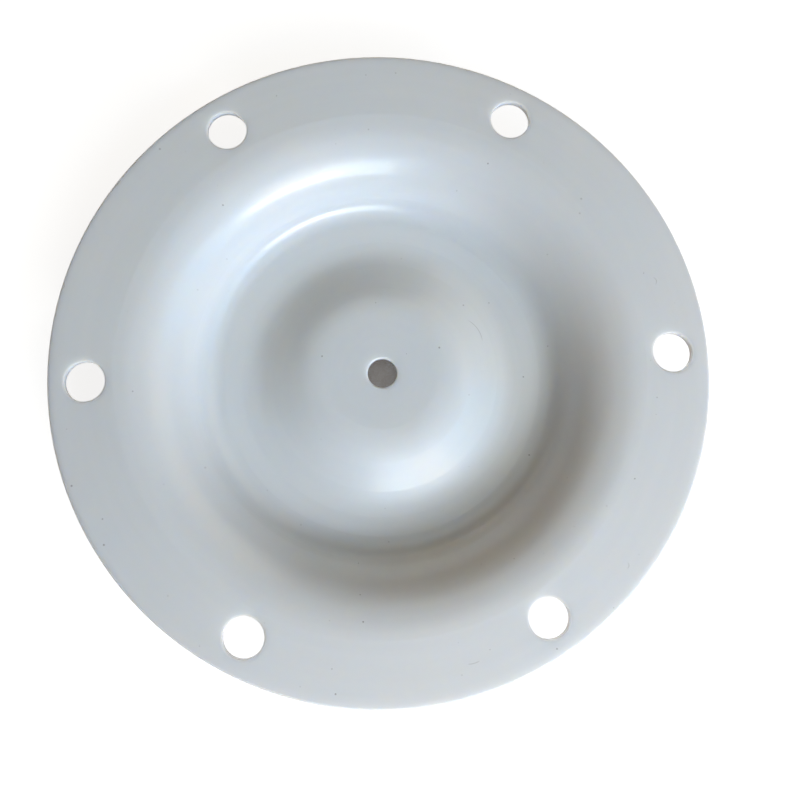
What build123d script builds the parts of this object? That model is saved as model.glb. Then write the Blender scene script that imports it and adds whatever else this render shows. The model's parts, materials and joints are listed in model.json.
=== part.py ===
"""Pump diaphragm: one sheet with a flat bolted flange, an annular convolution and a flat centre land.

The hollow side faces up. The origin is on the axis, at the level of the convolution's flat bottom,
which is what the part lies on. Millimetres, +Z up.
"""

import os
from math import asin, atan2, cos, degrees, hypot, sin

from build123d import *

# Sheet
SHEET = 1.5                      # thickness, the same all over
EDGE_BREAK = 0.25                # chamfer on the rim and on the centre hole

# Flange
FLANGE_DIAMETER = 140.0
BOLT_HOLE_DIAMETER = 8.5
BOLT_HOLES = 6
HOLE_TO_RIM = 3.45               # flat left outside the bolt holes
HOLE_TO_BEND = 1.55              # flat left inside them

# Convolution, on the upper face
CONVOLUTION_DEPTH = 13.4         # below the flange
BOTTOM_DIAMETER = 67.5           # of the middle of its flat bottom
BOTTOM_WIDTH = 4.2
FLANGE_BEND = 16.5               # radii of its bends, from the flange inwards
OUTER_BOTTOM_BEND = 6.0
INNER_BOTTOM_BEND = 15.0
LAND_BEND = 19.5
SHORTEST_WALL = 1.0              # straight wall left between two bends

# Centre land
LAND_DIAMETER = 25.0             # where the flat land runs into the convolution
LAND_DROP = 8.4                  # below the flange
CENTRE_HOLE_DIAMETER = 6.5

# What follows from these
bolt_circle_diameter = FLANGE_DIAMETER - 2 * HOLE_TO_RIM - BOLT_HOLE_DIAMETER
flange_inner_diameter = bolt_circle_diameter - BOLT_HOLE_DIAMETER - 2 * HOLE_TO_BEND
bottom_level = SHEET             # levels of the upper face
flange_level = bottom_level + CONVOLUTION_DEPTH
land_level = flange_level - LAND_DROP


def wall(run, rise, lower_bend, upper_bend):
    """The straight wall tangent to a lower and an upper bend, as its angle and length.

    The run and the rise are those between the bends' level ends. The two bends, returned as well,
    are smaller than asked where the wall has no room for them.
    """
    room = (run**2 + rise**2 - SHORTEST_WALL**2) / (2 * rise)
    fit = min(1, room / (lower_bend + upper_bend))
    lower_bend *= fit
    upper_bend *= fit
    bends = lower_bend + upper_bend
    centre_rise = rise - bends
    angle = atan2(centre_rise, run) + asin(bends / hypot(run, centre_rise))
    length = run * cos(angle) + centre_rise * sin(angle)
    return degrees(angle), length, lower_bend, upper_bend


with BuildPart() as diaphragm:
    with BuildSketch(Plane.XZ) as section:
        with BuildLine():
            # Flat bottom, on the upper face
            bottom_in = ((BOTTOM_DIAMETER - BOTTOM_WIDTH) / 2, bottom_level)
            bottom_out = ((BOTTOM_DIAMETER + BOTTOM_WIDTH) / 2, bottom_level)
            Line(bottom_out, bottom_in)

            # From it in to the centre hole
            inner_angle, inner_length, inner_bend, land_bend = wall(
                bottom_in[0] - LAND_DIAMETER / 2,
                land_level - bottom_level,
                INNER_BOTTOM_BEND,
                LAND_BEND,
            )
            inner_arc = JernArc(bottom_in, (-1, 0), inner_bend, -inner_angle)
            inner_wall = PolarLine(inner_arc @ 1, inner_length, direction=inner_arc % 1)
            land_arc = JernArc(inner_wall @ 1, inner_wall % 1, land_bend, inner_angle)
            Line(land_arc @ 1, (CENTRE_HOLE_DIAMETER / 2, land_level))

            # And out to the rim
            outer_angle, outer_length, outer_bend, flange_bend = wall(
                flange_inner_diameter / 2 - bottom_out[0],
                flange_level - bottom_level,
                OUTER_BOTTOM_BEND,
                FLANGE_BEND,
            )
            outer_arc = JernArc(bottom_out, (1, 0), outer_bend, outer_angle)
            outer_wall = PolarLine(outer_arc @ 1, outer_length, direction=outer_arc % 1)
            flange_arc = JernArc(outer_wall @ 1, outer_wall % 1, flange_bend, -outer_angle)
            Line(flange_arc @ 1, (FLANGE_DIAMETER / 2, flange_level))

            # Underside, one thickness below
            offset(amount=SHEET, side=Side.LEFT)
        make_face()
        cut_ends = section.vertices().group_by(Axis.X)
        chamfer(cut_ends[0] + cut_ends[-1], EDGE_BREAK)
    revolve(axis=Axis.Z)

    with Locations((0, 0, flange_level)):
        with PolarLocations(bolt_circle_diameter / 2, BOLT_HOLES):
            Hole(BOLT_HOLE_DIAMETER / 2)

diaphragm.part.label = "diaphragm"

os.makedirs("parts", exist_ok=True)
export_step(diaphragm.part, "parts/diaphragm.step")
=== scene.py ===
"""Looks of a pump diaphragm: a milky translucent sheet on a pale table, lit by a window and a soft room."""

import json
import math

import bpy
from mathutils import Matrix, Vector


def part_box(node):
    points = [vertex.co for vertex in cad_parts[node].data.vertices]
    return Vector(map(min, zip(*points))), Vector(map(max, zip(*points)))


MM = 0.001

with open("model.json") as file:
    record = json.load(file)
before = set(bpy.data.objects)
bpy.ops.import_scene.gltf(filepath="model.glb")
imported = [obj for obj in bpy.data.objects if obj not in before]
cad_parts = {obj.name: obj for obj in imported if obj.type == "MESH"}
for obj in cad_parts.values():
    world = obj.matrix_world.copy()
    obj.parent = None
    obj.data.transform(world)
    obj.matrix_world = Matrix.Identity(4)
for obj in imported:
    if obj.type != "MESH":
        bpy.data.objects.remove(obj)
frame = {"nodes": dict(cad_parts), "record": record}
bpy.context.view_layer.update()
sheet_low, sheet_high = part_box("diaphragm")
flange_level = sheet_high.z

# Camera, with its place and aim given from the centre of the flange's upper face
CAMERA_PLACE_MM = (-4.77, -31.11, 177.32)
CAMERA_AIM_MM = (3.18, -7.34, 0.0)
CAMERA_UP_AZIMUTH = 86.72
CAMERA_SENSOR_MM = 36.0
CAMERA_LENS_MM = 38.28
CAMERA_NEAREST = 0.01

# Lamps: azimuth and elevation seen from the sheet, size across and up, power and tint
LAMP_DISTANCE = 0.6
DAYLIGHT = (0.98, 1.0, 0.95)
CLEAR_DAYLIGHT = (0.86, 0.98, 1.0)
SKYLIGHT = (0.72, 0.79, 1.0)
BLUE_SKYLIGHT = (0.30, 0.66, 1.0)
CEILING_LIGHT = (1.0, 0.90, 0.70)
ROOM_LIGHT = (1.0, 0.79, 0.44)
LAMPS = {
    "window": (-66, 30, 0.16, 0.11, 1.18, DAYLIGHT),
    "window_right": (-50, 30, 0.14, 0.11, 0.75, SKYLIGHT),
    "window_left": (-84, 34, 0.20, 0.25, 1.00, CLEAR_DAYLIGHT),
    "window_top": (-60, 41, 0.25, 0.10, 0.28, ROOM_LIGHT),
    "window_glow": (-58, 32, 0.60, 0.40, 0.71, SKYLIGHT),
    "wall_above": (-75, 52, 0.40, 0.15, 0.36, SKYLIGHT),
    "sill": (-40, 15, 0.50, 0.10, 0.62, SKYLIGHT),
    "sky": (-20, 33, 0.40, 0.35, 0.81, BLUE_SKYLIGHT),
    "ceiling": (-60, 78, 0.40, 0.30, 0.21, CEILING_LIGHT),
    "room": (37, 40, 0.50, 0.35, 0.62, ROOM_LIGHT),
    "back": (110, 60, 0.40, 0.30, 0.29, CLEAR_DAYLIGHT),
}
FILL_LAMP = "sill"               # so low that the gloss would mirror it as white, so it isn't mirrored

# Table and backdrop
WHITE = (1.0, 1.0, 1.0, 1.0)
TABLE_SIZE = 4.0
# Brown of the table, which lights the sheet, and to which the seen table turns under the sheet as painted
# shade
TABLE_TONE = (0.22, 0.14, 0.08, 1.0)
PALE_TABLE = (0.35, 0.35, 0.35, 1.0)
NEAR_GLOW = 0.85                 # glow of the table near the sheet, which is 1 further away
NEAR_REACH = 0.2
FAR_REACH = 0.8
CONTACT_GAP = 0.00002
CONTACT_REACH = 0.012
CONTACT_SAMPLES = 4
CLOSED_IN = 0.38                 # ambient occlusion under the sheet and out in the open, between which the table's painted contact shade fades out
IN_THE_OPEN = 0.85
ALL_ROUND_LIGHT = (1.0, 0.5, 0.05, 1.0)
ALL_ROUND_STRENGTH = 0.065

# Sheet's colours
MILK_COOL = (0.66, 0.70, 0.73, 1.0)
MILK_WARM = (0.68, 0.70, 0.71, 1.0)
MILK_PALE = (0.71, 0.73, 0.75, 1.0)
# Cut edges' colour: the cut face's own paleness together with a painted highlight of light glowing through
# the edges
CUT_EDGE_AND_GLOW = (0.90, 0.89, 0.86, 1.0)
DIRT = (0.06, 0.045, 0.035, 1.0)

# Sheet's depth of milkiness, its gloss and its coat
SHEET_IOR = 1.38
MILK_RADIUS = (1.0, 0.8, 0.6)
MILK_DEPTH = 0.005
GLOSSY = 0.28                    # roughness where the gloss is fresh and where handling has dulled it
DULLED = 0.36
CUT_ROUGHNESS = 0.2              # added on the cut edges and on the dirt
DIRT_ROUGHNESS = 0.3
COAT_WEIGHT = 0.9
COAT_ROUGHNESS = 0.13
COAT_IOR = 1.38

# Sheet's clouds, swells, skin, streaks and crease, with sizes in metres and heights in millimetres
CLOUD_SIZE = 0.020
CLOUD_DETAIL = 3.0
CLOUD_RANGE = (0.3, 0.7)
SWELL_SIZE = 0.030
SWELL_DETAIL = 1.0
SWELL_HEIGHT = 0.10
SWELL_RANGE = (0.35, 0.65)
SKIN_SIZE = 0.0007
SKIN_DETAIL = 2.0
SKIN_HEIGHT = 0.0015
STREAK_WIDTH = 0.0022
STREAK_TURNS = 1.2
STREAK_DETAIL = 3.0
STREAK_HEIGHT = 0.006
STREAK_RANGE = (0.35, 0.7)
STREAK_PALENESS = 0.35
CREASE_RADIUS = 0.0518
CREASE_WIDTH = 0.0012
CREASE_HEIGHT = 0.02
CREASE_FAINTEST = 0.2
CUT_REACH = 0.0005

# Specks, the share of cells that has none, and their faintest and strongest tone
SPECK_SPACING = 0.0065
SPECK_SIZE = 0.00024
SPECK_NONE = 0.7
SPECK_FAINT = 0.15
SPECK_STRONG = 0.6
DIRT_HEIGHT = 0.01

# Hairs and scratches: middle across and up, length, azimuth and sag, in millimetres and degrees
HAIRS = [
    (22.3, 9.6, 6.0, -58, -0.8),
    (60.3, 15.9, 1.8, 100, 0.5),
    (15.1, -61.9, 2.6, 12, 0.2),
    (48.6, -44.4, 1.4, 80, 0.4),
]
HAIR_WIDTH = 0.11
HAIR_STRENGTH = 0.3

# Cut edges, from the frame
mounts = {mount["name"]: mount for mount in frame["record"]["mounts"]}
RIM_RADIUS = sheet_high.x
CENTRE_HOLE_RADIUS = mounts["centre_hole"]["dims"]["r_mm"] * MM
BOLT_HOLES = mounts["flange_bolts"]["dims"]["count"]
BOLT_HOLE_RADIUS = mounts["flange_bolts"]["dims"]["hole_r_mm"] * MM
BOLT_CIRCLE_RADIUS = mounts["flange_bolts"]["dims"]["pcd_mm"] * MM / 2


def make_camera():
    """Camera at the photograph's viewing angle."""
    flange_centre = Vector((0.0, 0.0, flange_level))
    place = flange_centre + Vector(CAMERA_PLACE_MM) * MM
    aim = flange_centre + Vector(CAMERA_AIM_MM) * MM
    back = (place - aim).normalized()
    turn = math.radians(CAMERA_UP_AZIMUTH)
    right = Vector((math.cos(turn), math.sin(turn), 0.0)).cross(back).normalized()
    up = back.cross(right)
    data = bpy.data.cameras.new("camera")
    data.sensor_width = CAMERA_SENSOR_MM
    data.lens = CAMERA_LENS_MM
    data.clip_start = CAMERA_NEAREST
    camera = bpy.data.objects.new("camera", data)
    camera.matrix_world = Matrix.Translation(place) @ Matrix((right, up, back)).transposed().to_4x4()
    bpy.context.scene.collection.objects.link(camera)
    bpy.context.scene.camera = camera


def make_lamp(name, azimuth, elevation, width, height, power, tint):
    """Rectangular soft lamp that faces the sheet."""
    data = bpy.data.lights.new(name, "AREA")
    data.shape = "RECTANGLE"
    data.size = width
    data.size_y = height
    data.energy = power
    data.color = tint
    lamp = bpy.data.objects.new(name, data)
    lamp.visible_glossy = name != FILL_LAMP
    a, e = math.radians(azimuth), math.radians(elevation)
    away = Vector((math.cos(a) * math.cos(e), math.sin(a) * math.cos(e), math.sin(e)))
    lamp.location = Vector((0.0, 0.0, flange_level)) + away * LAMP_DISTANCE
    lamp.rotation_euler = away.to_track_quat("Z", "Y").to_euler()
    bpy.context.scene.collection.objects.link(lamp)


class Nodes:
    """Short calls for building a material's or the world's node tree."""

    def __init__(self, owner):
        owner.use_nodes = True
        self.tree = owner.node_tree
        self.tree.nodes.clear()

    def add(self, kind, inputs=None, **settings):
        node = self.tree.nodes.new(kind)
        for key, value in settings.items():
            setattr(node, key, value)
        for key, value in (inputs or {}).items():
            if isinstance(value, bpy.types.NodeSocket):
                self.tree.links.new(value, node.inputs[key])
            else:
                node.inputs[key].default_value = value
        return node

    def math(self, operation, *values):
        return self.add("ShaderNodeMath", dict(enumerate(values)), operation=operation).outputs[0]

    def ramp(self, value, low, high, to_low=0.0, to_high=1.0):
        """Value moved from one range to another, and held within it."""
        inputs = {"Value": value, "From Min": low, "From Max": high, "To Min": to_low, "To Max": to_high}
        return self.add("ShaderNodeMapRange", inputs).outputs[0]

    def noise(self, vector, scale, detail):
        inputs = {"Vector": vector, "Scale": scale, "Detail": detail}
        return self.add("ShaderNodeTexNoise", inputs).outputs[0]

    def mix(self, factor, first, second):
        # The mix node's two colours are its sockets 6 and 7, and the mixed colour comes out of socket 2
        node = self.add("ShaderNodeMix", {0: factor, 6: first, 7: second}, data_type="RGBA")
        return node.outputs[2]

    def rim(self, radius):
        """1 on the rim's cut edge."""
        return self.ramp(radius, RIM_RADIUS - CUT_REACH, RIM_RADIUS)

    def holes(self, radius, direction):
        """1 on the cut edges of the centre hole and of the bolt holes."""
        axes = self.add("ShaderNodeSeparateXYZ", {0: direction})
        angle = self.math("ARCTAN2", axes.outputs[1], axes.outputs[0])
        turn = math.tau / BOLT_HOLES
        folded = self.math("PINGPONG", angle, turn / 2)
        across = self.math("MULTIPLY", radius, self.math("SINE", folded))
        outwards = self.math("MULTIPLY_ADD", radius, self.math("COSINE", folded), -BOLT_CIRCLE_RADIUS)
        squares = self.math("MULTIPLY_ADD", across, across, self.math("MULTIPLY", outwards, outwards))
        bolt = self.ramp(self.math("SQRT", squares), BOLT_HOLE_RADIUS + CUT_REACH, BOLT_HOLE_RADIUS)
        centre = self.ramp(radius, CENTRE_HOLE_RADIUS + CUT_REACH, CENTRE_HOLE_RADIUS)
        return self.math("MAXIMUM", bolt, centre)

    def hair(self, x, y, centre_x, centre_y, length, azimuth, sag):
        """Strength of a thin curved mark, faded at its sides and ends."""
        a = math.radians(azimuth)
        right = self.math("MULTIPLY_ADD", x, 1 / MM, -centre_x)
        up = self.math("MULTIPLY_ADD", y, 1 / MM, -centre_y)
        along = self.math("MULTIPLY_ADD", right, math.cos(a), self.math("MULTIPLY", up, math.sin(a)))
        across = self.math("MULTIPLY_ADD", right, -math.sin(a), self.math("MULTIPLY", up, math.cos(a)))
        bow = self.math("MULTIPLY", self.math("MULTIPLY", along, along), 4 * sag / length**2)
        off = self.math("ABSOLUTE", self.math("SUBTRACT", across, bow))
        line = self.ramp(off, HAIR_WIDTH, HAIR_WIDTH / 3, 0.0, HAIR_STRENGTH)
        ends = self.ramp(self.math("ABSOLUTE", along), length / 2, length / 3)
        return self.math("MULTIPLY", line, ends)

    def seen(self):
        """1 for what the camera sees, also by reflection or through the sheet."""
        path = self.add("ShaderNodeLightPath")
        rays = self.math("MAXIMUM", path.outputs["Is Camera Ray"], path.outputs["Is Glossy Ray"])
        return self.math("MAXIMUM", rays, path.outputs["Is Transmission Ray"])


def table_material():
    """Pale table that keeps the sheet's shadow, with painted shade that darkens it to brown under the sheet,
    and that lights the sheet as a brown one.
    """
    material = bpy.data.materials.new("table")
    nodes = Nodes(material)
    # Painted contact shade: the glow fades and the pale colour turns to the table's brown where ambient
    # occlusion finds the sheet close overhead
    contact = nodes.add("ShaderNodeAmbientOcclusion", {"Distance": CONTACT_REACH}, samples=CONTACT_SAMPLES)
    open_part = nodes.ramp(contact.outputs["AO"], CLOSED_IN, IN_THE_OPEN)
    place = nodes.add("ShaderNodeTexCoord").outputs["Object"]
    away = nodes.add("ShaderNodeVectorMath", {0: place}, operation="LENGTH").outputs["Value"]
    glow = nodes.math("MULTIPLY", open_part, nodes.ramp(away, NEAR_REACH, FAR_REACH, NEAR_GLOW, 1.0))
    pale = nodes.add("ShaderNodeBsdfDiffuse", {"Color": nodes.mix(open_part, TABLE_TONE, PALE_TABLE)})
    bright = nodes.add("ShaderNodeEmission", {"Color": WHITE, "Strength": glow})
    shown = nodes.add("ShaderNodeAddShader", {0: pale.outputs[0], 1: bright.outputs[0]})
    lit = nodes.add("ShaderNodeBsdfDiffuse", {"Color": TABLE_TONE})
    mixed = nodes.add("ShaderNodeMixShader", {0: nodes.seen(), 1: lit.outputs[0], 2: shown.outputs[0]})
    nodes.add("ShaderNodeOutputMaterial", {"Surface": mixed.outputs[0]})
    return material


def make_table():
    """Table just under the sheet, so that the two never share a plane."""
    half = TABLE_SIZE / 2
    mesh = bpy.data.meshes.new("table")
    corners = [(-half, -half, 0.0), (half, -half, 0.0), (half, half, 0.0), (-half, half, 0.0)]
    mesh.from_pydata(corners, [], [(0, 1, 2, 3)])
    mesh.materials.append(table_material())
    table = bpy.data.objects.new("table", mesh)
    table.location.z = sheet_low.z - CONTACT_GAP
    bpy.context.scene.collection.objects.link(table)


def make_backdrop():
    """World that is white where the camera sees it, and adds a little warm light from all round."""
    world = bpy.data.worlds.new("backdrop")
    bpy.context.scene.world = world
    nodes = Nodes(world)
    white = nodes.add("ShaderNodeBackground", {"Color": WHITE, "Strength": 1.0})
    room = nodes.add("ShaderNodeBackground", {"Color": ALL_ROUND_LIGHT, "Strength": ALL_ROUND_STRENGTH})
    path = nodes.add("ShaderNodeLightPath")
    mixed = nodes.add(
        "ShaderNodeMixShader", {0: path.outputs["Is Camera Ray"], 1: room.outputs[0], 2: white.outputs[0]}
    )
    nodes.add("ShaderNodeOutputWorld", {"Surface": mixed.outputs[0]})


def sheet_material():
    """Milky fluoropolymer with the small marks of forming, punching and handling, and a painted highlight on
    its cut edges.
    """
    material = bpy.data.materials.new("milky_sheet")
    nodes = Nodes(material)
    place = nodes.add("ShaderNodeTexCoord").outputs["Object"]
    axes = nodes.add("ShaderNodeSeparateXYZ", {0: place})
    x, y = axes.outputs[0], axes.outputs[1]
    flat = nodes.add("ShaderNodeCombineXYZ", {0: x, 1: y}).outputs[0]
    radius = nodes.add("ShaderNodeVectorMath", {0: flat}, operation="LENGTH").outputs["Value"]
    direction = nodes.add("ShaderNodeVectorMath", {0: flat}, operation="NORMALIZE").outputs[0]

    # Forming streaks, which run round the axis
    turned = nodes.add("ShaderNodeVectorMath", {0: direction, "Scale": STREAK_TURNS}, operation="SCALE")
    around = nodes.add("ShaderNodeSeparateXYZ", {0: turned.outputs[0]})
    across = nodes.math("MULTIPLY", radius, 1 / STREAK_WIDTH)
    rings = nodes.add("ShaderNodeCombineXYZ", {0: around.outputs[0], 1: around.outputs[1], 2: across})
    streaks = nodes.noise(rings.outputs[0], 1.0, STREAK_DETAIL)

    # Milkiness, which is cloudy, and a fine skin
    clouds = nodes.noise(place, 1 / CLOUD_SIZE, CLOUD_DETAIL)
    swells = nodes.noise(place, 1 / SWELL_SIZE, SWELL_DETAIL)
    skin = nodes.noise(place, 1 / SKIN_SIZE, SKIN_DETAIL)
    color = nodes.mix(nodes.ramp(clouds, *CLOUD_RANGE), MILK_COOL, MILK_WARM)
    color = nodes.mix(nodes.ramp(streaks, *STREAK_RANGE, 0.0, STREAK_PALENESS), color, MILK_PALE)

    # Cut edges, whiter: partly the cut face's own milkier tone, partly a painted highlight of the light that
    # glows through the edges
    edges = nodes.math("MAXIMUM", nodes.rim(radius), nodes.holes(radius, direction))
    color = nodes.mix(edges, color, CUT_EDGE_AND_GLOW)

    # Specks and hairs of dirt
    cells = nodes.add(
        "ShaderNodeTexVoronoi", {"Vector": flat, "Scale": 1 / SPECK_SPACING}, voronoi_dimensions="2D"
    )
    chance = nodes.add("ShaderNodeSeparateColor", {0: cells.outputs["Color"]})
    size = nodes.ramp(chance.outputs[0], SPECK_NONE, 1.0, 0.0, SPECK_SIZE / SPECK_SPACING)
    reach = nodes.math("SUBTRACT", size, cells.outputs["Distance"])
    dirt = nodes.ramp(reach, 0.0, SPECK_SIZE / SPECK_SPACING / 4)
    dirt = nodes.math("MULTIPLY", dirt, nodes.ramp(chance.outputs[1], 0.0, 1.0, SPECK_FAINT, SPECK_STRONG))
    for hair in HAIRS:
        dirt = nodes.math("MAXIMUM", dirt, nodes.hair(x, y, *hair))
    color = nodes.mix(dirt, color, DIRT)

    # Faint crease where the flange was clamped, stronger on some stretches than on others
    crease = nodes.ramp(radius, CREASE_RADIUS - CREASE_WIDTH, CREASE_RADIUS)
    crease = nodes.math("MULTIPLY", crease, nodes.ramp(swells, *SWELL_RANGE, CREASE_FAINTEST, 1.0))

    # Heights, in millimetres
    height = nodes.math("MULTIPLY", swells, SWELL_HEIGHT)
    height = nodes.math("MULTIPLY_ADD", streaks, STREAK_HEIGHT, height)
    height = nodes.math("MULTIPLY_ADD", skin, SKIN_HEIGHT, height)
    height = nodes.math("MULTIPLY_ADD", crease, CREASE_HEIGHT, height)
    height = nodes.math("MULTIPLY_ADD", dirt, DIRT_HEIGHT, height)
    bump = nodes.add("ShaderNodeBump", {"Height": height, "Distance": MM})

    # Handling has dulled the gloss in patches
    roughness = nodes.ramp(clouds, *CLOUD_RANGE, GLOSSY, DULLED)
    roughness = nodes.math("MULTIPLY_ADD", edges, CUT_ROUGHNESS, roughness)
    roughness = nodes.math("MULTIPLY_ADD", dirt, DIRT_ROUGHNESS, roughness)

    sheet = nodes.add(
        "ShaderNodeBsdfPrincipled",
        {
            "Base Color": color,
            "Roughness": roughness,
            "IOR": SHEET_IOR,
            "Subsurface Weight": 1.0,
            "Subsurface Radius": MILK_RADIUS,
            "Subsurface Scale": MILK_DEPTH,
            "Coat Weight": COAT_WEIGHT,
            "Coat Roughness": COAT_ROUGHNESS,
            "Coat IOR": COAT_IOR,
            "Normal": bump.outputs[0],
            "Coat Normal": bump.outputs[0],
        },
        subsurface_method="RANDOM_WALK",
    )
    nodes.add("ShaderNodeOutputMaterial", {"Surface": sheet.outputs[0]})
    return material


sheet = frame["nodes"]["diaphragm"]
sheet.material_slots[0].material = sheet_material()

make_table()
make_backdrop()
for name, settings in LAMPS.items():
    make_lamp(name, *settings)
make_camera()

bpy.context.scene.view_settings.view_transform = "Standard"
